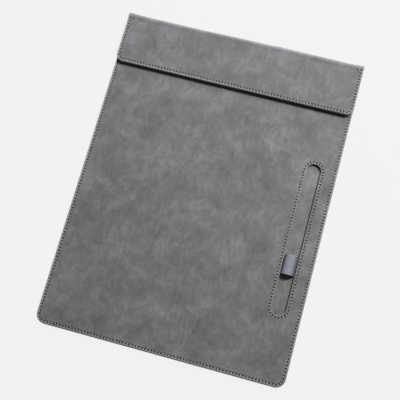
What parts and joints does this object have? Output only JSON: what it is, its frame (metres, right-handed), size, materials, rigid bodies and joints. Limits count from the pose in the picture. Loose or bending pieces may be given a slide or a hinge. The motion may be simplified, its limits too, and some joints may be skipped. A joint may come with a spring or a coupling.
{
  "type": "writing pad folder",
  "caption": "Leather-covered writing board for A4 paper with a pen groove, an elastic pen loop and a magnetic clamping flap folded over its top end.",
  "frame": {"origin": "middle of the back, the face it lies on, halfway between the bottom edge and the outside of the fold", "axes": "+X across to the side with the pen groove, +Y along the sheet towards the fold of the flap, +Z out of the writing face"},
  "size_m": [0.2406, 0.32, 0.0091],
  "materials": {
    "outer_leather": "matt, softly mottled, like nubuck",
    "front_leather": "matt, softly mottled, like nubuck",
    "lining": "matt, fine grained",
    "elastic": "woven, slightly shiny",
    "board": "pressed, matt",
    "steel": "plain rolled strip",
    "magnet": "nickel plated"
  },
  "bodies": {
    "board": {"back_leather": "outer_leather", "back_board": "board", "groove_floor_leather": "front_leather", "groove_board": "board", "keeper_strip": "steel", "front_leather": "front_leather", "pen_loop": "elastic"},
    "fold": {"hinge_leather": "outer_leather", "hinge_lining": "lining"},
    "flap": {"flap_leather": "outer_leather", "flap_board": "board", "flap_lining": "lining", "flap_magnet_1": "magnet", "flap_magnet_2": "magnet", "flap_magnet_3": "magnet", "flap_magnet_4": "magnet"}
  },
  "joints": [
    {"name": "lower_crease", "type": "hinge", "parent": "board", "child": "fold", "pos_m": [0, 0.15912, 0.00088], "axis": [-1, 0, 0], "range_deg": [0, 90]},
    {"name": "upper_crease", "type": "hinge", "parent": "fold", "child": "flap", "pos_m": [0, 0.15912, 0.00823], "axis": [-1, 0, 0], "range_deg": [0, 90.23]}
  ],
  "couplings": [
    {"joint": "upper_crease", "follows": "lower_crease", "ratio": 1.0026}
  ]
}
